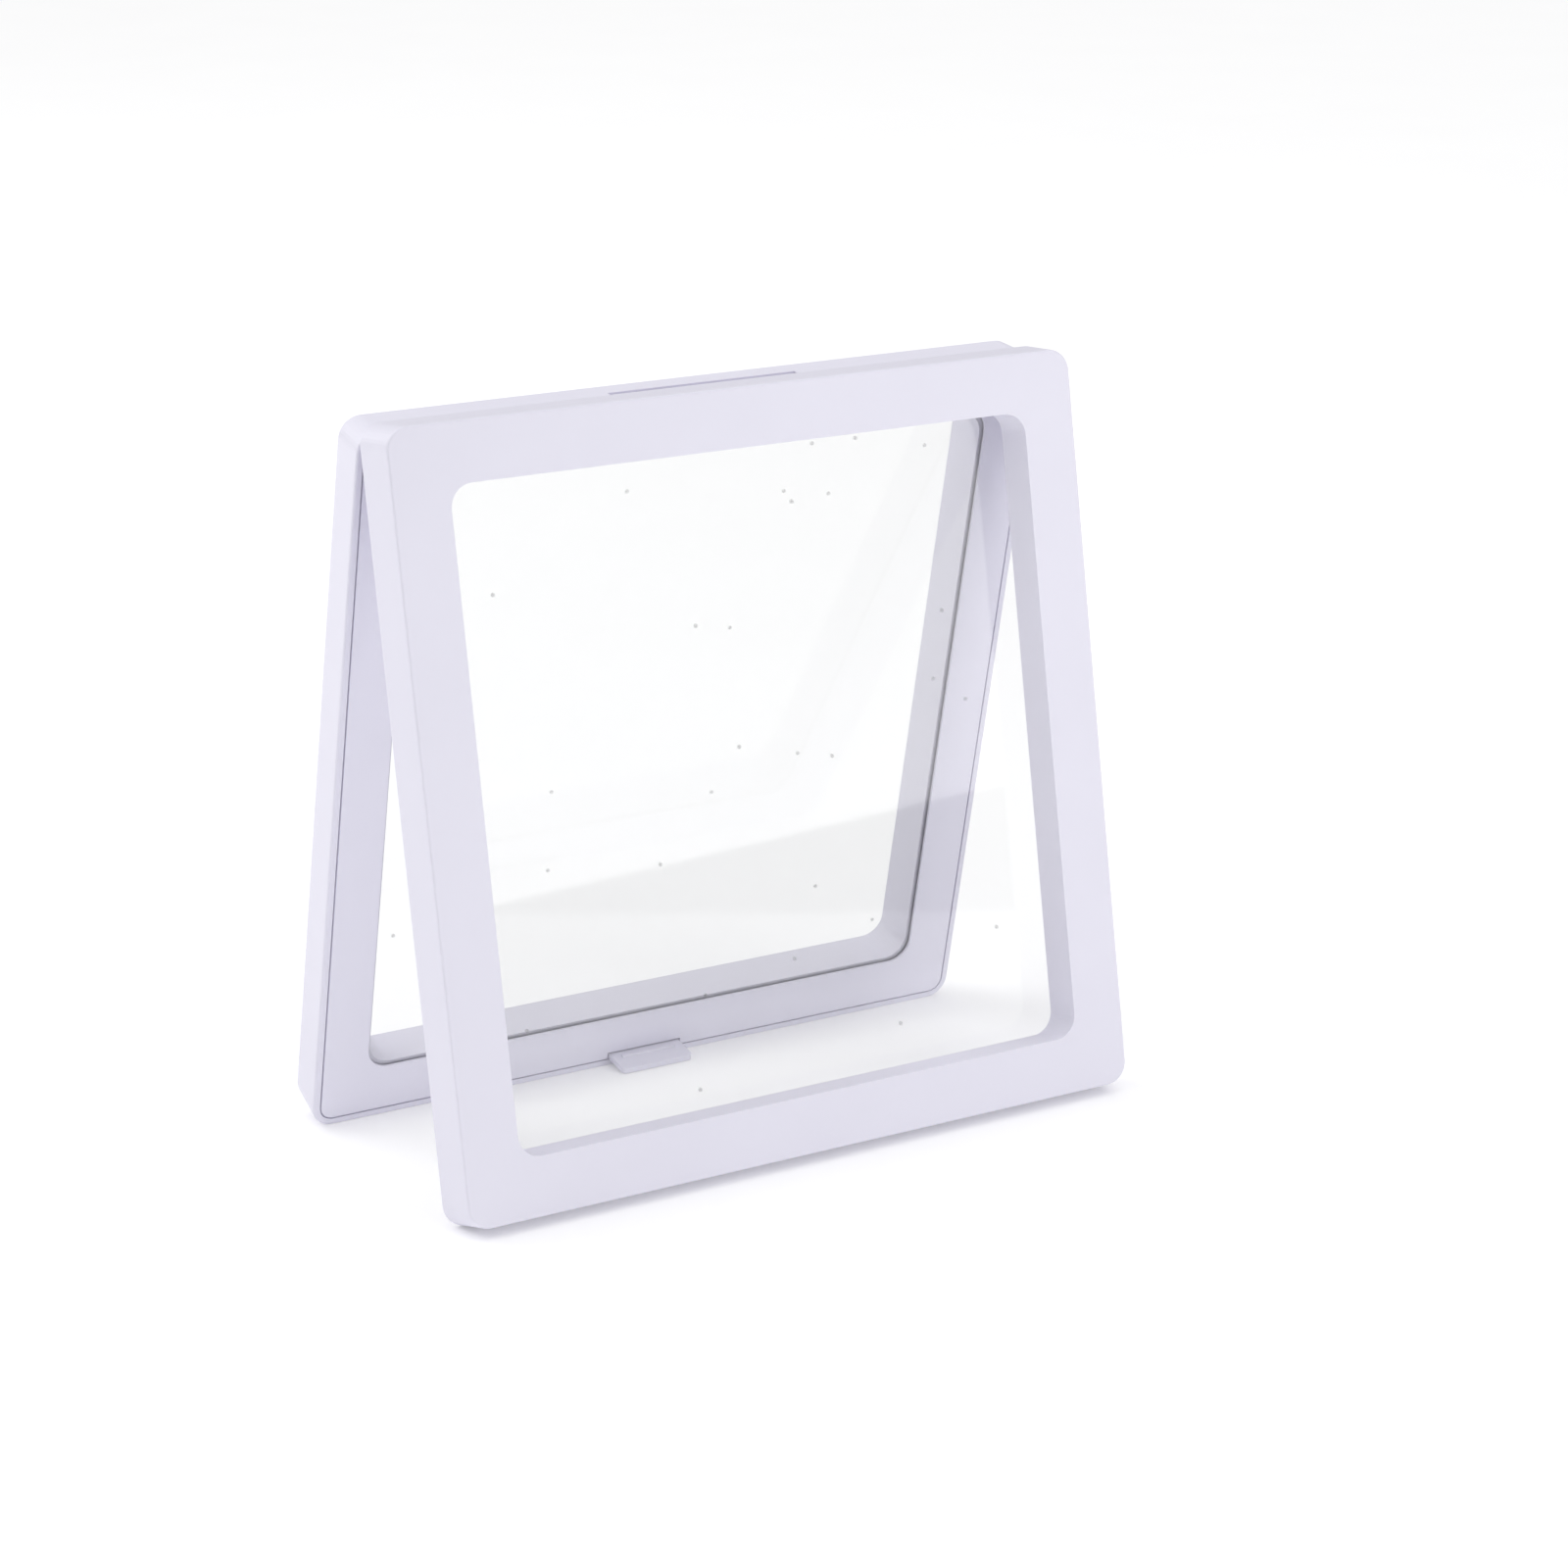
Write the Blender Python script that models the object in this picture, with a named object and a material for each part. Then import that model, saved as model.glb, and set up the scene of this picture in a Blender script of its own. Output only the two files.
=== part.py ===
"""Hinged floating frame, standing open on a table.

Two square moulded halves are hinged along their top edge. Each half is a shell with a window,
a clear elastic film across the window, and a flat retainer ring that presses the film against
the window's inner wall. Closed, the two films grip an object between them. Opened a little, the
two halves stand as an upside-down V on their lower inner edges.

Every half is drawn in its own frame: X runs across the half, the depth runs from its inner face
outwards, and Z runs down from 0 at its top edge to -HEIGHT at its bottom edge. The back half's
depth points to +Y and the front half's to -Y. Lengths are in metres, angles in degrees.
"""

import math

import bmesh
import bpy
from mathutils import Matrix, Vector

# Overall sizes of one half
WIDTH = 0.150
HEIGHT = 0.150
DEPTH = 0.010
CORNER_RADIUS = 0.0044
DRAFT = 0.0008              # how far each outer wall leans in between inner and outer face
EDGE_ROUND = 0.0004         # rounding of the outline at the inner and at the outer face

# Shell walls
RIM_WALL = 0.00135          # outer wall around the retainer ring
SIDE_WALL = 0.0024          # outer wall behind the ring, thicker so that the ring has a seat
FACE_WALL = 0.0015          # flat outer face
WINDOW_INSET = 0.0123       # from the half's outline to the window, at the outer face
WINDOW_DRAFT = 0.0004       # the window is this much wider all round at the film
WINDOW_RADIUS = 0.0042
JAMB_WALL = 0.0012          # wall around the window, whose end the film lies on

# Retainer ring and film
RING_THICKNESS = 0.0006
RING_GROOVE = 0.00035       # visible groove between the rim and the ring
RING_INSET = 0.0112         # from the half's outline to the ring's opening
RING_RADIUS = 0.0048
FILM_THICKNESS = 0.0003
FILM_GRIP = 0.0020          # how far the film reaches under the ring
FILM_GAP = 0.00005          # between the film and the ring or the shell that grip it
SEAT_GAP = 0.0003           # clearance between pieces that rest on each other

# Press pegs on the ring, and the bosses in the shell that hold them
PEG_RADIUS = 0.0008
PEG_LENGTH = 0.0034
BOSS_WALL = 0.0009
BOSS_GAP = 0.0006           # between a boss and the film's edge
BOSS_SPACING = 0.090        # between the two pegs of one side

# Hinge: the front shell's tongue turns on two pins inside a notch of the back shell
OPENING_ANGLE = 22.8        # between the halves as the frame stands
PIVOT_DEPTH = 0.00395       # from the back half's inner face to the pins' axis
PIVOT_DROP = 0.0017         # from the top edge down to the pins' axis
SWING_GAP = 0.0001          # between the two inner faces where they pass each other
TONGUE_WIDTH = 0.0406
TONGUE_SKIN = 0.0002        # from the top edge down to the tongue
NOTCH_GAP = 0.0003          # around the tongue
PIN_RADIUS = 0.00075
PIN_REACH = 0.0039          # how deep a pin sits in the tongue
PIN_PLAY = 0.00008          # running clearance in the tongue
PIN_PRESS = 0.00005         # clearance in the back shell, which holds the pin
HINGE_CHEEK = 0.0060        # length of the shell's bore on either side of the notch
HINGE_BLOCK_DROP = 0.0016   # the solid block reaches this far below the notch

# Latch: the back shell's tongue reaches out through its ring's slot and into the front ring's
# slot, where its ridge clicks behind the ring
LATCH_WIDTH = 0.0164
LATCH_REACH = 0.0063        # from the back half's inner face to the tip
LATCH_THICKNESS = 0.0011
LATCH_TIP_ROUND = 0.0010
LATCH_SLOT_GAP = 0.00035    # between the tongue and the ring above it, so that it can bend
LATCH_SIDE_GAP = 0.0004
LATCH_POCKET_GAP = 0.0004   # around the tongue's tip inside the front shell
LATCH_RIDGE = 0.00036       # height of the ridge
LATCH_RIDGE_RADIUS = 0.0006

OVERLAP = 0.0010            # how far shapes run into or past each other before they are joined or cut
CORNER_STEPS = 10
ROUND_STEPS = 32
EDGE_STEPS = 2
TIP_STEPS = 6
FULL_ROUND = 0.97           # share of a bar's half thickness that its end is rounded by
SHARP_ANGLE = 25            # edges sharper than this are shaded sharp
SAME_PLACE = 1e-7           # coordinates closer than this are taken to be equal

# Depths from the inner face, one layer after the other
FILM_FRONT = RING_THICKNESS + FILM_GAP
FILM_BACK = FILM_FRONT + FILM_THICKNESS
JAMB_END = FILM_BACK + FILM_GAP
CAVITY_FLOOR = DEPTH - FACE_WALL

RING_EDGE = RIM_WALL + RING_GROOVE
FILM_INSET = RING_INSET - FILM_GRIP
PEG_HOLE_RADIUS = PEG_RADIUS + SEAT_GAP
BOSS_RADIUS = PEG_HOLE_RADIUS + BOSS_WALL
BOSS_INSET = FILM_INSET - BOSS_GAP - BOSS_RADIUS    # from the half's outline to the line of pegs

# The back half's flat inner face ends just below its top edge, and that end swings past the front
# half's inner face as the frame opens
SWING_RADIUS = math.hypot(PIVOT_DEPTH, PIVOT_DROP - EDGE_ROUND)
PARTING_GAP = SWING_RADIUS + SWING_GAP - PIVOT_DEPTH    # between the two inner faces when closed

TONGUE_DROP = 2 * PIVOT_DROP - TONGUE_SKIN
NOTCH_DROP = TONGUE_DROP + NOTCH_GAP
NOTCH_HALF = TONGUE_WIDTH / 2 + NOTCH_GAP
TONGUE_RADIUS = PIVOT_DROP - TONGUE_SKIN
BLOCK_DROP = NOTCH_DROP + HINGE_BLOCK_DROP
BLOCK_HALF = NOTCH_HALF + HINGE_CHEEK
LATCH_BOTTOM = HEIGHT - RIM_WALL - SEAT_GAP
LATCH_TOP = LATCH_BOTTOM - LATCH_THICKNESS
LATCH_SLOT_HALF = LATCH_WIDTH / 2 + LATCH_SIDE_GAP

BACK, FRONT = 1, -1         # the sign of a half's depth along Y


def clear_scene():
    for thing in list(bpy.data.objects):
        bpy.data.objects.remove(thing, do_unlink=True)
    for group in list(bpy.data.collections):
        bpy.data.collections.remove(group)


def add_collection(name):
    group = bpy.data.collections.new(name)
    bpy.context.scene.collection.children.link(group)
    return group


def add_object(bm, name, group):
    mesh = bpy.data.meshes.new(name)
    bmesh.ops.recalc_face_normals(bm, faces=bm.faces)
    bm.to_mesh(mesh)
    bm.free()
    thing = bpy.data.objects.new(name, mesh)
    group.objects.link(thing)
    return thing


def edges_along(bm, axis):
    """The edges that run along one axis of an upright box."""
    found = []
    for edge in bm.edges:
        run = edge.verts[1].co - edge.verts[0].co
        if abs(run[axis]) > 0.999 * run.length:
            found.append(edge)
    return found


def edges_at(bm, axis, value):
    """The edges that lie in the plane where one coordinate has the given value."""
    return [edge for edge in bm.edges if all(abs(v.co[axis] - value) < SAME_PLACE for v in edge.verts)]


def box_mesh(low, high):
    """A bmesh box between two corners, whichever way round they are."""
    low, high = Vector(low), Vector(high)
    size = [abs(b - a) for a, b in zip(low, high)]
    place = Matrix.Translation((low + high) / 2) @ Matrix.Diagonal((*size, 1.0))
    bm = bmesh.new()
    bmesh.ops.create_cube(bm, size=1.0, matrix=place)
    return bm


def slab_mesh(side, inset, near, far, radius, lean=0.0):
    """A square slab with round corners: the half's outline moved in by inset, between two depths.

    The slab leans in by lean at its far end, all round.
    """
    half = WIDTH / 2 - inset
    bm = box_mesh((-half, side * near, -inset), (half, side * far, inset - HEIGHT))
    bmesh.ops.bevel(
        bm, geom=edges_along(bm, 1), offset=radius, segments=CORNER_STEPS, profile=0.5, affect="EDGES"
    )
    middle = -HEIGHT / 2
    shrink_x = 1 - lean / half
    shrink_z = 1 - lean / (HEIGHT / 2 - inset)
    for vert in bm.verts:
        if abs(vert.co.y - side * far) < SAME_PLACE:
            vert.co.x *= shrink_x
            vert.co.z = middle + (vert.co.z - middle) * shrink_z
    return bm


def add_rod(bm, start, end, radius, steps=ROUND_STEPS):
    """Adds a closed cylinder from start to end to a bmesh."""
    start, end = Vector(start), Vector(end)
    run = end - start
    turn = Vector((0, 0, 1)).rotation_difference(run).to_matrix().to_4x4()
    bmesh.ops.create_cone(
        bm,
        cap_ends=True,
        segments=steps,
        radius1=radius,
        radius2=radius,
        depth=run.length,
        matrix=Matrix.Translation((start + end) / 2) @ turn,
    )


def peg_places():
    """Where the ring's pegs stand: two on each side of the half."""
    across = WIDTH / 2 - BOSS_INSET
    step = BOSS_SPACING / 2
    middle = -HEIGHT / 2
    for sign in (-1, 1):
        yield sign * step, -BOSS_INSET
        yield sign * step, BOSS_INSET - HEIGHT
        yield -across, middle + sign * step
        yield across, middle + sign * step


def pegs_mesh(side, near, far, radius):
    bm = bmesh.new()
    for x, z in peg_places():
        add_rod(bm, (x, side * near, z), (x, side * far, z), radius)
    return bm


class Half:
    """One half of the frame: its parent empty on the hinge axis, and where its frame lies on it."""

    def __init__(self, name, side, parts, guides, root):
        self.name = name
        self.side = side
        self.parts = parts
        self.guides = guides
        self.pivot = bpy.data.objects.new(name + "_half", None)
        parts.objects.link(self.pivot)
        self.pivot.parent = root
        inner_face = -PIVOT_DEPTH if side == BACK else -(PIVOT_DEPTH + PARTING_GAP)
        self.place = Vector((0, inner_face, PIVOT_DROP))

    def add_part(self, bm, name):
        thing = add_object(bm, name, self.parts)
        thing.parent = self.pivot
        thing.location = self.place
        return thing

    def shape(self, thing, operation, bm, name):
        """Joins a helper shape to a part, or cuts the part with it."""
        helper = add_object(bm, thing.name + "_" + name, self.guides)
        helper.parent = self.pivot
        helper.location = self.place
        helper.hide_render = True
        helper.display_type = "WIRE"
        boolean = thing.modifiers.new(name, "BOOLEAN")
        boolean.operation = operation
        boolean.solver = "EXACT"
        boolean.object = helper

    def join(self, thing, bm, name):
        self.shape(thing, "UNION", bm, name)

    def cut(self, thing, bm, name):
        self.shape(thing, "DIFFERENCE", bm, name)


def outline_mesh(side):
    """The solid outline of a half, with its leaning walls and softened edges."""
    bm = slab_mesh(side, 0, 0, DEPTH, CORNER_RADIUS, lean=DRAFT)
    rims = edges_at(bm, 1, 0) + edges_at(bm, 1, side * DEPTH)
    bmesh.ops.bevel(
        bm, geom=rims, offset=EDGE_ROUND, segments=EDGE_STEPS, profile=0.5, affect="EDGES"
    )
    return bm


def add_shell(half):
    """The moulded shell that both halves share: outer walls, flat face, window wall and bosses."""
    side = half.side
    shell = half.add_part(outline_mesh(side), half.name + "_shell")
    inner_corner = CORNER_RADIUS - RIM_WALL
    rebate = slab_mesh(side, RIM_WALL, -OVERLAP, FILM_FRONT, inner_corner)
    half.cut(shell, rebate, "ring_rebate")
    cavity_corner = CORNER_RADIUS - SIDE_WALL
    cavity = slab_mesh(side, SIDE_WALL, RING_THICKNESS, CAVITY_FLOOR, cavity_corner, lean=DRAFT)
    half.cut(shell, cavity, "cavity")

    window_inset = WINDOW_INSET - WINDOW_DRAFT
    jamb_inset = window_inset - JAMB_WALL
    jamb_corner = WINDOW_RADIUS + WINDOW_INSET - jamb_inset
    jamb_foot = CAVITY_FLOOR + FACE_WALL / 2
    jamb = slab_mesh(side, jamb_inset, JAMB_END, jamb_foot, jamb_corner)
    half.join(shell, jamb, "jamb")
    half.join(shell, pegs_mesh(side, FILM_FRONT, jamb_foot, BOSS_RADIUS), "bosses")
    block = box_mesh(
        (-BLOCK_HALF, side * FILM_FRONT, -RIM_WALL / 2 - DRAFT),
        (BLOCK_HALF, side * jamb_foot, -BLOCK_DROP),
    )
    half.join(shell, block, "hinge_block")

    window = window_mesh(side, window_inset)
    half.cut(shell, window, "window")
    holes = pegs_mesh(side, RING_THICKNESS, RING_THICKNESS + PEG_LENGTH + SEAT_GAP, PEG_HOLE_RADIUS)
    half.cut(shell, holes, "peg_holes")
    return shell


def window_mesh(side, inset):
    """The cutter for the window: widest at the film, and WINDOW_DRAFT narrower at the outer face."""
    run = DEPTH - JAMB_END
    lean_rate = WINDOW_DRAFT / run
    near = JAMB_END - OVERLAP
    far = DEPTH + OVERLAP
    spread = OVERLAP * lean_rate
    lean = (far - near) * lean_rate
    return slab_mesh(side, inset - spread, near, far, WINDOW_RADIUS + WINDOW_DRAFT, lean=lean)


def tongue_mesh():
    """The front shell's hinge tongue: a bar across the top, round where it turns on the pins."""
    root = -(FILM_FRONT + OVERLAP)
    tip = PARTING_GAP + PIVOT_DEPTH + TONGUE_RADIUS
    bm = box_mesh((-TONGUE_WIDTH / 2, root, -TONGUE_SKIN), (TONGUE_WIDTH / 2, tip, -TONGUE_DROP))
    ends = [edge for edge in edges_at(bm, 1, tip) if edge in set(edges_along(bm, 0))]
    bmesh.ops.bevel(
        bm, geom=ends, offset=FULL_ROUND * TONGUE_RADIUS, segments=CORNER_STEPS, profile=0.5, affect="EDGES"
    )
    return bm


def bores_mesh(depth, inner, outer, radius):
    """Two holes on the hinge axis, left and right, between two distances from the middle."""
    bm = bmesh.new()
    for sign in (-1, 1):
        add_rod(bm, (sign * inner, depth, -PIVOT_DROP), (sign * outer, depth, -PIVOT_DROP), radius)
    return bm


def latch_mesh():
    """The back shell's latch tongue, with round front corners."""
    root = FILM_FRONT + OVERLAP
    bm = box_mesh(
        (-LATCH_WIDTH / 2, -LATCH_REACH, -LATCH_TOP),
        (LATCH_WIDTH / 2, root, -LATCH_BOTTOM),
    )
    tips = [edge for edge in edges_along(bm, 2) if edge.verts[0].co.y < 0]
    bmesh.ops.bevel(bm, geom=tips, offset=LATCH_TIP_ROUND, segments=TIP_STEPS, profile=0.5, affect="EDGES")
    return bm


def ridge_mesh():
    """A low round bar along the latch tongue, just past the front ring's back when closed."""
    depth = -(PARTING_GAP + RING_THICKNESS + SEAT_GAP + LATCH_RIDGE_RADIUS)
    level = -LATCH_TOP - (LATCH_RIDGE_RADIUS - LATCH_RIDGE)
    reach = LATCH_WIDTH / 2 - 2 * LATCH_TIP_ROUND
    bm = bmesh.new()
    add_rod(bm, (-reach, depth, level), (reach, depth, level), LATCH_RIDGE_RADIUS)
    return bm


def add_back_shell(half):
    shell = add_shell(half)
    notch = box_mesh(
        (-NOTCH_HALF, -OVERLAP, OVERLAP),
        (NOTCH_HALF, PIVOT_DEPTH + TONGUE_RADIUS + NOTCH_GAP, -NOTCH_DROP),
    )
    half.cut(shell, notch, "hinge_notch")
    bores = bores_mesh(
        PIVOT_DEPTH, NOTCH_HALF - OVERLAP, BLOCK_HALF + OVERLAP, PIN_RADIUS + PIN_PRESS
    )
    half.cut(shell, bores, "pin_bores")
    half.join(shell, latch_mesh(), "latch_tongue")
    half.join(shell, ridge_mesh(), "latch_ridge")
    return shell


def add_front_shell(half):
    shell = add_shell(half)
    half.join(shell, tongue_mesh(), "hinge_tongue")
    bore_end = TONGUE_WIDTH / 2 - PIN_REACH - SEAT_GAP
    bores = bores_mesh(
        PARTING_GAP + PIVOT_DEPTH, bore_end, TONGUE_WIDTH / 2 + OVERLAP, PIN_RADIUS + PIN_PLAY
    )
    half.cut(shell, bores, "pin_bores")
    pocket = box_mesh(
        (-LATCH_SLOT_HALF, 0, SIDE_WALL + OVERLAP - HEIGHT),
        (LATCH_SLOT_HALF, PARTING_GAP - LATCH_REACH - LATCH_POCKET_GAP, -LATCH_BOTTOM - LATCH_POCKET_GAP),
    )
    half.cut(shell, pocket, "latch_pocket")
    return shell


def add_ring(half):
    """The flat ring that presses the film down, with notches for the hinge and the latch tongue.

    Its pegs are pushed into the shell's bosses. Both halves have the same ring.
    """
    side = half.side
    ring_corner = CORNER_RADIUS - RING_EDGE
    slab = slab_mesh(side, RING_EDGE, 0, RING_THICKNESS, ring_corner)
    ring = half.add_part(slab, half.name + "_retainer_ring")
    opening = slab_mesh(side, RING_INSET, -OVERLAP, RING_THICKNESS + OVERLAP, RING_RADIUS)
    half.cut(ring, opening, "opening")
    notch = box_mesh(
        (-NOTCH_HALF, -side * OVERLAP, OVERLAP),
        (NOTCH_HALF, side * (RING_THICKNESS + OVERLAP), -NOTCH_DROP),
    )
    half.cut(ring, notch, "hinge_notch")
    slot = box_mesh(
        (-LATCH_SLOT_HALF, -side * OVERLAP, LATCH_SLOT_GAP - LATCH_TOP),
        (LATCH_SLOT_HALF, side * (RING_THICKNESS + OVERLAP), -HEIGHT),
    )
    half.cut(ring, slot, "latch_slot")
    pegs = pegs_mesh(side, RING_THICKNESS / 2, RING_THICKNESS + PEG_LENGTH, PEG_RADIUS)
    half.join(ring, pegs, "pegs")
    return ring


def add_film(half):
    """The clear film, held between the ring and the end of the window wall."""
    film = slab_mesh(half.side, FILM_INSET, FILM_FRONT, FILM_BACK, RING_RADIUS + FILM_GRIP)
    return half.add_part(film, half.name + "_film")


def add_pin(half, sign, name):
    """A short steel pin, pressed into the back shell, on which the front shell's tongue turns."""
    inner = TONGUE_WIDTH / 2 - PIN_REACH
    outer = BLOCK_HALF - SEAT_GAP
    bm = bmesh.new()
    add_rod(
        bm,
        (sign * inner, PIVOT_DEPTH, -PIVOT_DROP),
        (sign * outer, PIVOT_DEPTH, -PIVOT_DROP),
        PIN_RADIUS,
    )
    return half.add_part(bm, name)


def add_material(name, colour, roughness, metallic=0.0, transmission=0.0):
    material = bpy.data.materials.new(name)
    material.use_nodes = True
    surface = material.node_tree.nodes["Principled BSDF"]
    surface.inputs["Base Color"].default_value = (*colour, 1.0)
    surface.inputs["Roughness"].default_value = roughness
    surface.inputs["Metallic"].default_value = metallic
    surface.inputs["Transmission Weight"].default_value = transmission
    return material


def shade(thing, material):
    thing.data.materials.append(material)
    thing.data.shade_smooth()
    thing.data.set_sharp_from_angle(angle=math.radians(SHARP_ANGLE))


def turned(point, angle):
    """A point (depth, height) turned about the hinge axis."""
    y, z = point
    return y * math.cos(angle) - z * math.sin(angle), y * math.sin(angle) + z * math.cos(angle)


def stance():
    """How far each half leans, so that both stand on their lower inner edges."""
    lean = math.atan2(DRAFT, DEPTH)
    reach = EDGE_ROUND * math.cos(lean)
    foot = PIVOT_DROP - HEIGHT + EDGE_ROUND * math.sin(lean)
    half_opening = math.radians(OPENING_ANGLE) / 2
    back_y, back_z = turned((-PIVOT_DEPTH + reach, foot), half_opening)
    front_y, front_z = turned((-PIVOT_DEPTH - PARTING_GAP - reach, foot), -half_opening)
    slope = math.atan2(back_z - front_z, back_y - front_y)
    return half_opening - slope, -half_opening - slope


def settle(root, parts):
    """Moves the whole frame so that the middle of its footprint is the origin."""
    bpy.context.view_layer.update()
    shapes = bpy.context.evaluated_depsgraph_get()
    corners = []
    for thing in parts:
        seen = thing.evaluated_get(shapes)
        corners += [seen.matrix_world @ vert.co for vert in seen.data.vertices]
    depths = [corner.y for corner in corners]
    root.location = (0, -(min(depths) + max(depths)) / 2, -min(corner.z for corner in corners))


def build():
    clear_scene()
    parts = add_collection("floating_frame")
    guides = add_collection("helper_shapes")
    root = bpy.data.objects.new("frame_origin", None)
    parts.objects.link(root)
    plastic = add_material("white_plastic", (0.83, 0.83, 0.88), 0.38)
    clear = add_material("clear_film", (0.96, 0.97, 0.98), 0.05, transmission=1.0)
    steel = add_material("pin_steel", (0.62, 0.62, 0.64), 0.28, metallic=1.0)

    back = Half("back", BACK, parts, guides, root)
    front = Half("front", FRONT, parts, guides, root)
    moulded = [add_back_shell(back), add_ring(back), add_front_shell(front), add_ring(front)]
    films = [add_film(back), add_film(front)]
    pins = [add_pin(back, -1, "hinge_pin_left"), add_pin(back, 1, "hinge_pin_right")]
    for things, material in ((moulded, plastic), (films, clear), (pins, steel)):
        for thing in things:
            shade(thing, material)

    back.pivot.rotation_euler.x, front.pivot.rotation_euler.x = stance()
    settle(root, moulded + films + pins)


build()
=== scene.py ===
"""Looks of the floating frame: satin white plastic, clear elastic films, a pale floor and soft light.

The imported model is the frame, in metres with +Z up. Its own shapes are shown, each with a
procedural material, and nothing is moved or resized.
"""

import math

import bpy
from mathutils import Matrix, Quaternion, Vector

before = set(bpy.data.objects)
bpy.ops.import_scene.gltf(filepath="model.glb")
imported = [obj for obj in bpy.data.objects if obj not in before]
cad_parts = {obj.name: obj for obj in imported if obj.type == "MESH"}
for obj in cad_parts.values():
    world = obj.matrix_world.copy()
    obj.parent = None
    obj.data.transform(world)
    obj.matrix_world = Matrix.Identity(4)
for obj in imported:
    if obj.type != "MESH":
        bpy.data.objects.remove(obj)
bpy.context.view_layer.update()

# Camera
AZIMUTH = math.radians(-30.96)
ELEVATION = math.radians(16.79)
ROLL = math.radians(-0.267)
DISTANCE = 0.7774
TARGET = Vector((0.0169, 0.0001, 0.0643))
SENSOR = 36.0
LENS = 89.61

WHITE = (1.0, 1.0, 1.0, 1.0)
NOISE_MIDDLE = (0.3, 0.7)    # nearly all of a noise lies in here

# Light: a glow is a brightness, in which 1 shows as white
ROOM_GLOW = 0.19             # the plain room all round, as a light
BACKDROP_GLOW = 1.0          # the same room, seen directly
CEILING_STRENGTH = 2.1
CEILING_SPREAD = math.radians(100)
SOFTBOX_GLOW = 1.9
SOFTBOX_SIZE = (0.42, 0.40)
SOFTBOX_PLACE = Vector((0.34, -0.565, 0.257))
SOFTBOX_ROLL = math.radians(3.4)
LEFT_GLOW = 0.22
LEFT_PLACE = Vector((-0.80, -0.08, 0.52))
LEFT_SIZE = (0.65, 0.65)
BACK_GLOW = 2.15
BACK_PLACE = Vector((-0.75, 0.95, 0.75))
BACK_SIZE = (0.9, 0.9)
LIGHT_AIM = Vector((0.0, 0.0, 0.08))

# Floor, and a dark sheet past its edge that paints a dark reflection in the films, standing in for
# shade
FLOOR_SIZE = 24.0
FLOOR_GLOW = 0.13            # a little light of its own, as on a light table, so that shadows stay pale
FLOOR_LIGHT = (0.965, 0.965, 0.97)
FLOOR_DARK = (0.955, 0.955, 0.96)
FLOOR_CLOUDS = 14.0          # this and the other scales of noise are in cells per metre
FLOOR_ROUGHNESS = 0.8
PAINTED_REFLECTION_CORNERS = ((0.57, -0.83), (4.5, -11.6), (12.0, -11.6), (12.0, -0.83))
PAINTED_REFLECTION_HEIGHT = 0.001
# painted reflection: the sheet's near-black colour stands in for shade and is seen only in the films
PAINTED_REFLECTION_DARK = (0.03, 0.03, 0.03)
PAINTED_REFLECTION_LIGHT = (0.05, 0.05, 0.05)
PAINTED_REFLECTION_CLOUDS = 3.0

# White plastic
PLASTIC_LIGHT = (0.83, 0.815, 0.92)
PLASTIC_DARK = (0.815, 0.80, 0.905)
PLASTIC_CLOUDS = 45.0
PLASTIC_GRAIN = 9000.0
PLASTIC_ROUGHNESS = (0.36, 0.46)
PLASTIC_IOR = 1.46
GRAIN_STRENGTH = 0.12
GRAIN_HEIGHT = 0.00003

# Clear film
FILM_IOR = 1.5
FILM_TINT = (0.961, 0.962, 0.962, 1.0)
FILM_ROUGHNESS = 0.03
RIPPLES = 18.0
RIPPLE_STRENGTH = 0.1
RIPPLE_HEIGHT = 0.0002
SPECK_SPACING = 0.032
SPECK_RADIUS = 0.0004
SPECK_STRENGTH = 0.3
BETWEEN_FILMS = -0.0037      # in Y, as the frame stands: the back film lies behind it
DUST = (0.4, 0.4, 0.4, 1.0)

# Steel pins
STEEL = (0.62, 0.62, 0.64, 1.0)
STEEL_GRAIN = 6000.0
STEEL_ROUGHNESS = (0.22, 0.34)
STEEL_STRENGTH = 0.1
STEEL_HEIGHT = 0.00002


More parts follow.
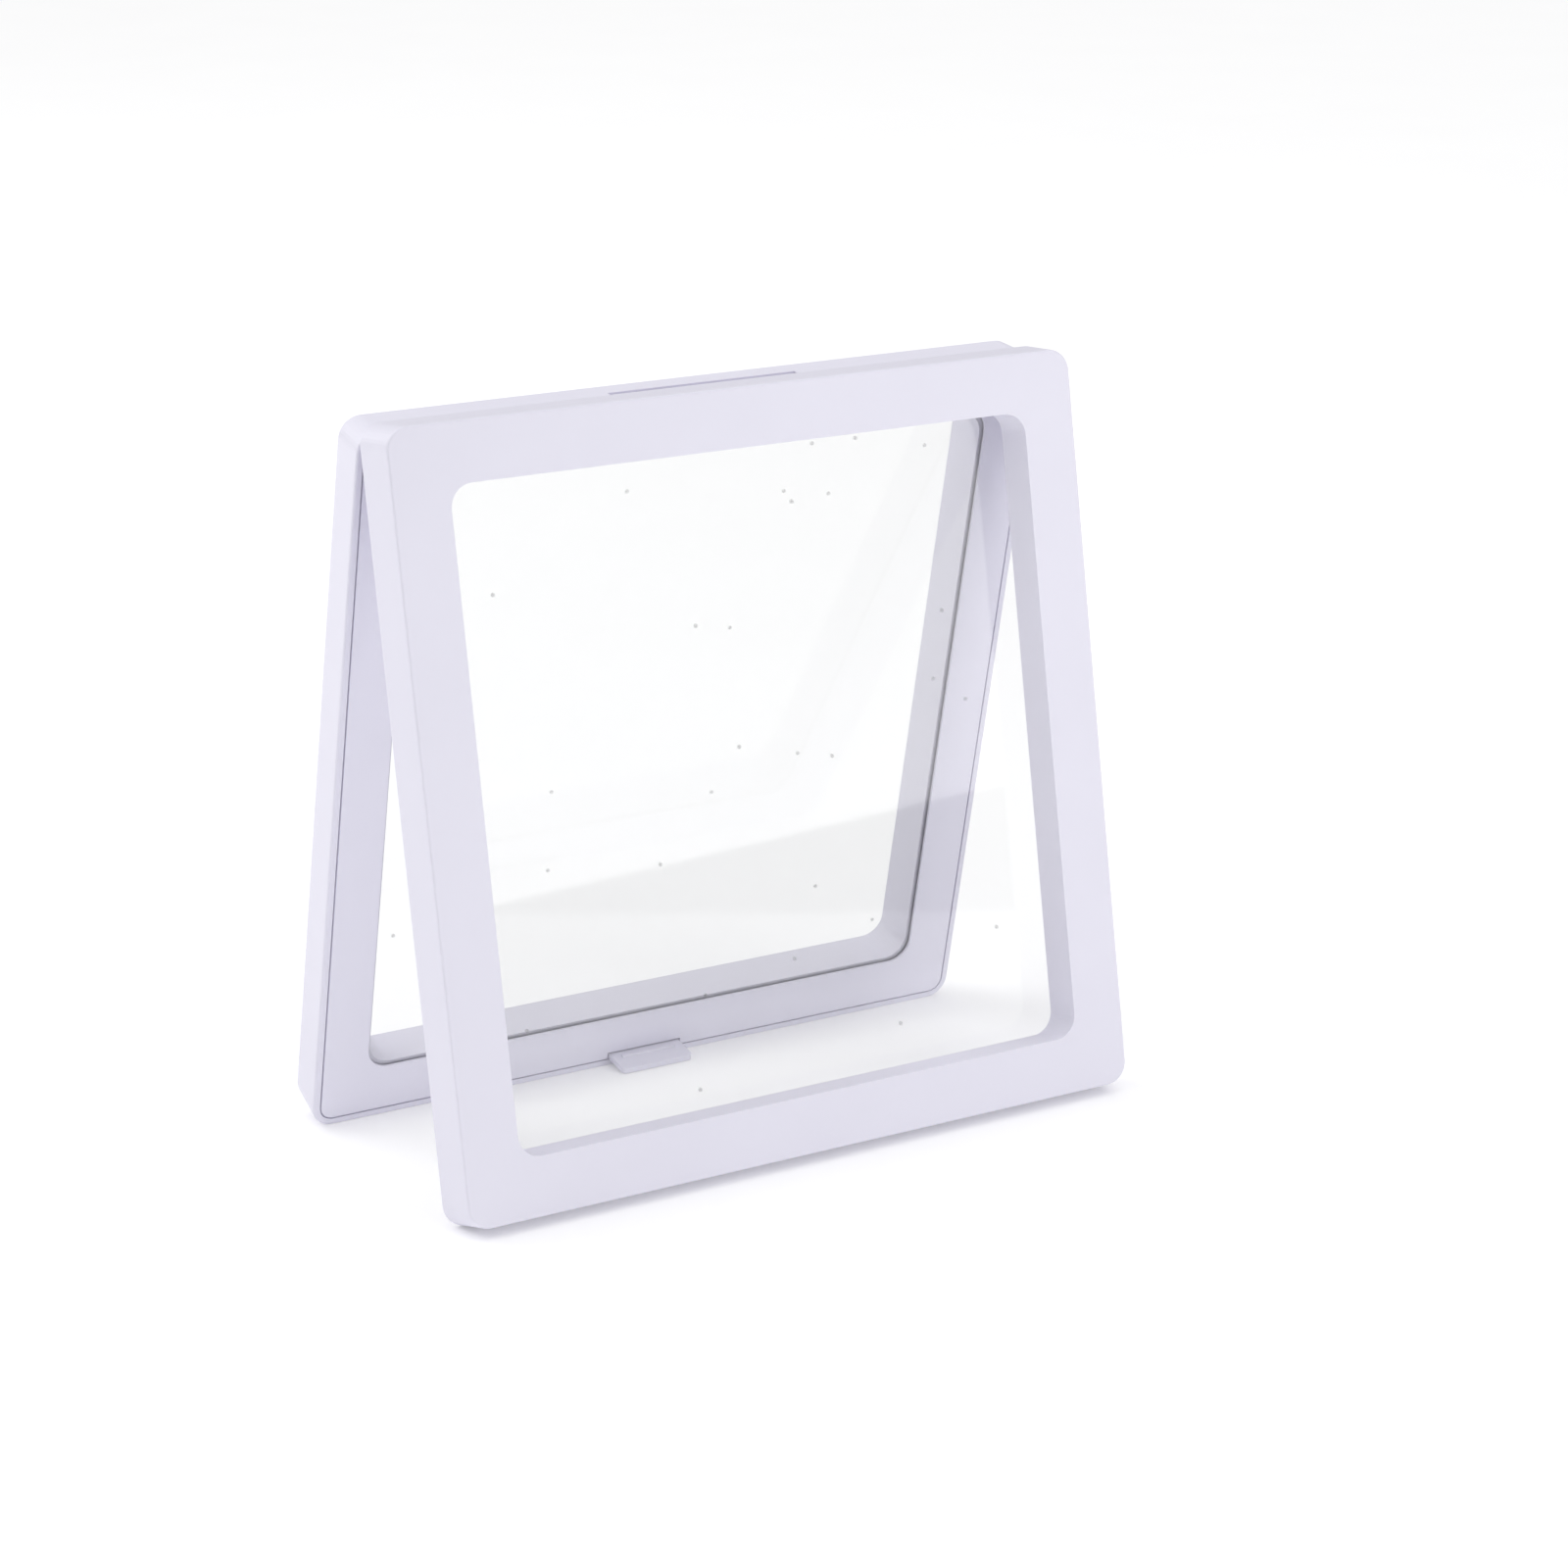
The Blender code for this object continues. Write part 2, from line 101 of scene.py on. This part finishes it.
class Nodes:
    """Adds nodes and links to one material, so that each material reads as a recipe."""

    def __init__(self, name):
        self.material = bpy.data.materials.new(name)
        self.material.use_nodes = True
        self.tree = self.material.node_tree
        self.surface = self.tree.nodes["Principled BSDF"]

    def add(self, kind, inputs=(), **settings):
        node = self.tree.nodes.new("ShaderNode" + kind)
        for name, value in settings.items():
            setattr(node, name, value)
        for name, value in dict(inputs).items():
            self.feed(node, name, value)
        return node

    def feed(self, node, name, value):
        """Sets an input, or links it when the value is another node's output."""
        if isinstance(value, bpy.types.NodeSocket):
            self.tree.links.new(value, node.inputs[name])
        else:
            node.inputs[name].default_value = value

    def noise(self, scale, detail=3.0, roughness=0.5):
        """Noise at so many cells per metre, in the piece's own coordinates."""
        place = self.add("TexCoord").outputs["Object"]
        inputs = {"Vector": place, "Scale": scale, "Detail": detail, "Roughness": roughness}
        return self.add("TexNoise", inputs).outputs["Fac"]

    def spread(self, value, low, high):
        """Maps the middle of a noise value to the range from low to high."""
        start, end = NOISE_MIDDLE
        inputs = {"Value": value, "From Min": start, "From Max": end, "To Min": low, "To Max": high}
        return self.add("MapRange", inputs).outputs["Result"]

    def blend(self, share, first, second):
        """Mixes two colours. The node has several sockets of one name, so they go by number."""
        node = self.add("Mix", data_type="RGBA")
        self.feed(node, 0, share)
        self.feed(node, 6, (*first, 1.0))
        self.feed(node, 7, (*second, 1.0))
        return node.outputs[2]

    def specks(self, spacing, radius, strength):
        """Round specks of dust in the piece's own XZ plane, in other places on each film."""
        place = self.add("SeparateXYZ", {0: self.add("TexCoord").outputs["Object"]}).outputs
        back = self.add("Math", {0: place["Y"], 1: BETWEEN_FILMS}, operation="GREATER_THAN").outputs[0]
        along = self.add("Math", {0: place["X"], 1: back}, operation="ADD").outputs[0]
        flat = self.add("CombineXYZ", {"X": along, "Y": place["Z"]}).outputs[0]
        cells = self.add("TexVoronoi", {"Vector": flat, "Scale": 1 / spacing}, voronoi_dimensions="2D")
        inside = {0: cells.outputs["Distance"], 1: radius / spacing}
        speck = self.add("Math", inside, operation="LESS_THAN").outputs[0]
        return self.add("Math", {0: speck, 1: strength}, operation="MULTIPLY").outputs[0]

    def bump(self, height, strength, distance):
        inputs = {"Height": height, "Strength": strength, "Distance": distance}
        return self.add("Bump", inputs).outputs["Normal"]


def plastic(name):
    """Satin moulded plastic: a fine spark-eroded grain, and faint flow clouds in its colour."""
    nodes = Nodes(name)
    clouds = nodes.noise(PLASTIC_CLOUDS, detail=2.0)
    grain = nodes.noise(PLASTIC_GRAIN, detail=2.0, roughness=0.6)
    colour = nodes.blend(nodes.spread(clouds, 0.0, 1.0), PLASTIC_LIGHT, PLASTIC_DARK)
    nodes.feed(nodes.surface, "Base Color", colour)
    nodes.feed(nodes.surface, "Roughness", nodes.spread(grain, *PLASTIC_ROUGHNESS))
    nodes.feed(nodes.surface, "Normal", nodes.bump(grain, GRAIN_STRENGTH, GRAIN_HEIGHT))
    nodes.surface.inputs["IOR"].default_value = PLASTIC_IOR
    return nodes.material


def clear_film():
    """Clear elastic film: nearly all light passes, with a gloss that grows at low angles.

    The ratio is turned round for light that leaves the film, so that a sheet seen through
    both of its faces stays clear.
    """
    nodes = Nodes("clear_film")
    nodes.tree.nodes.remove(nodes.surface)
    ripple = nodes.noise(RIPPLES, detail=1.0)
    normal = nodes.bump(ripple, RIPPLE_STRENGTH, RIPPLE_HEIGHT)
    leaving = nodes.add("NewGeometry").outputs["Backfacing"]
    ratio = nodes.add("MapRange", {"Value": leaving, "To Min": FILM_IOR, "To Max": 1 / FILM_IOR})
    facing = nodes.add("Fresnel", {"IOR": ratio.outputs["Result"], "Normal": normal}).outputs["Fac"]
    through = nodes.add("BsdfTransparent", {"Color": FILM_TINT}).outputs["BSDF"]
    gloss = nodes.add("BsdfGlossy", {"Roughness": FILM_ROUGHNESS, "Normal": normal}).outputs["BSDF"]
    mixed = nodes.add("MixShader")
    nodes.feed(mixed, 0, facing)
    nodes.feed(mixed, 1, through)
    nodes.feed(mixed, 2, gloss)
    specked = nodes.add("MixShader")
    nodes.feed(specked, 0, nodes.specks(SPECK_SPACING, SPECK_RADIUS, SPECK_STRENGTH))
    nodes.feed(specked, 1, mixed.outputs["Shader"])
    nodes.feed(specked, 2, nodes.add("BsdfDiffuse", {"Color": DUST}).outputs["BSDF"])
    output = nodes.tree.nodes["Material Output"]
    nodes.tree.links.new(specked.outputs["Shader"], output.inputs["Surface"])
    return nodes.material


def steel():
    """Drawn wire with a fine grain."""
    nodes = Nodes("pin_steel")
    grain = nodes.noise(STEEL_GRAIN, detail=2.0)
    nodes.surface.inputs["Base Color"].default_value = STEEL
    nodes.surface.inputs["Metallic"].default_value = 1.0
    nodes.feed(nodes.surface, "Roughness", nodes.spread(grain, *STEEL_ROUGHNESS))
    nodes.feed(nodes.surface, "Normal", nodes.bump(grain, STEEL_STRENGTH, STEEL_HEIGHT))
    return nodes.material


def give_materials():
    """One material for each kind of piece, told by the last word of its name."""
    shell = plastic("shell_plastic")
    ring = plastic("ring_plastic")
    film = clear_film()
    pin = steel()
    kinds = {"shell": shell, "ring": ring, "film": film, "left": pin, "right": pin}
    for name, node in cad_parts.items():
        node.data.materials.clear()
        node.data.materials.append(kinds[name.split("_")[-1]])


def add_floor():
    """A white floor with faint clouds."""
    bpy.ops.mesh.primitive_plane_add(size=FLOOR_SIZE, location=(0, 0, 0))
    floor = bpy.context.object
    floor.name = "floor"
    nodes = Nodes("pale_floor")
    shade = nodes.spread(nodes.noise(FLOOR_CLOUDS, detail=4.0), 0.0, 1.0)
    nodes.feed(nodes.surface, "Base Color", nodes.blend(shade, FLOOR_LIGHT, FLOOR_DARK))
    nodes.surface.inputs["Roughness"].default_value = FLOOR_ROUGHNESS
    nodes.surface.inputs["Specular IOR Level"].default_value = 0.0
    nodes.surface.inputs["Emission Color"].default_value = WHITE
    nodes.surface.inputs["Emission Strength"].default_value = FLOOR_GLOW
    floor.data.materials.append(nodes.material)


def add_painted_reflection_sheet():
    """A dark sheet past the edge of the white floor, seen only as a mirror image in the films: a
    painted reflection that stands in for the shade of a dark room.
    """
    mesh = bpy.data.meshes.new("painted_reflection_sheet")
    corners = [(x, y, PAINTED_REFLECTION_HEIGHT) for x, y in PAINTED_REFLECTION_CORNERS]
    mesh.from_pydata(corners, [], [range(len(corners))])
    sheet = bpy.data.objects.new("painted_reflection_sheet", mesh)
    bpy.context.scene.collection.objects.link(sheet)
    # the sheet's dark colour is a painted reflection of shade; only glossy rays see it
    nodes = Nodes("painted_reflection_shade")
    shade = nodes.spread(nodes.noise(PAINTED_REFLECTION_CLOUDS), 0.0, 1.0)
    nodes.feed(nodes.surface, "Base Color", nodes.blend(shade, PAINTED_REFLECTION_DARK, PAINTED_REFLECTION_LIGHT))
    mesh.materials.append(nodes.material)
    sheet.visible_camera = False
    sheet.visible_diffuse = False
    sheet.visible_shadow = False


def add_lamp(name, kind, place, aim, roll=0.0):
    """A light that looks from its place at a point, turned about its own line of sight."""
    data = bpy.data.lights.new(name, kind)
    lamp = bpy.data.objects.new(name, data)
    bpy.context.scene.collection.objects.link(lamp)
    lamp.location = place
    turn = (Vector(aim) - Vector(place)).to_track_quat("-Z", "Y") @ Quaternion((0, 0, 1), roll)
    lamp.rotation_euler = turn.to_euler()
    lamp.visible_camera = False
    return data


def add_panel(name, place, aim, size, glow, roll=0.0):
    """A softbox with the given brightness."""
    panel = add_lamp(name, "AREA", place, aim, roll)
    panel.shape = "RECTANGLE"
    panel.size, panel.size_y = size
    panel.energy = glow * math.pi * panel.size * panel.size_y


def add_lights():
    """A wide soft light from above, and softboxes at the front right, the left and the back left."""
    ceiling = add_lamp("ceiling_light", "SUN", (0, 0, 1), (0, 0, 0))
    ceiling.energy = CEILING_STRENGTH
    ceiling.angle = CEILING_SPREAD
    level = Vector((0.0, 0.0, SOFTBOX_PLACE.z))
    add_panel("front_softbox", SOFTBOX_PLACE, level, SOFTBOX_SIZE, SOFTBOX_GLOW, SOFTBOX_ROLL)
    add_panel("left_softbox", LEFT_PLACE, LIGHT_AIM, LEFT_SIZE, LEFT_GLOW)
    add_panel("back_softbox", BACK_PLACE, LIGHT_AIM, BACK_SIZE, BACK_GLOW)


def add_world():
    """A plain dim room, seen directly as a white backdrop."""
    world = bpy.data.worlds.new("studio")
    world.use_nodes = True
    tree = world.node_tree
    background = tree.nodes["Background"]
    background.inputs["Color"].default_value = WHITE
    seen = tree.nodes.new("ShaderNodeLightPath")
    glow = tree.nodes.new("ShaderNodeMapRange")
    glow.inputs["To Min"].default_value = ROOM_GLOW
    glow.inputs["To Max"].default_value = BACKDROP_GLOW
    tree.links.new(seen.outputs["Is Camera Ray"], glow.inputs["Value"])
    tree.links.new(glow.outputs["Result"], background.inputs["Strength"])
    bpy.context.scene.world = world


def add_camera():
    """The camera that was fitted to the edges of both halves in the photo."""
    data = bpy.data.cameras.new("camera")
    data.lens = LENS
    data.sensor_width = SENSOR
    camera = bpy.data.objects.new("camera", data)
    bpy.context.scene.collection.objects.link(camera)
    flat = math.cos(ELEVATION)
    back = Vector((math.sin(AZIMUTH) * flat, -math.cos(AZIMUTH) * flat, math.sin(ELEVATION)))
    right = Vector((0, 0, 1)).cross(back).normalized()
    up = back.cross(right)
    axes = Matrix((right, up, back)).transposed().to_4x4()
    roll = Matrix.Rotation(ROLL, 4, "Z")
    camera.matrix_world = Matrix.Translation(TARGET + back * DISTANCE) @ axes @ roll
    bpy.context.scene.camera = camera


bpy.context.scene.view_settings.view_transform = "Standard"
give_materials()
add_world()
add_floor()
add_painted_reflection_sheet()
add_lights()
add_camera()
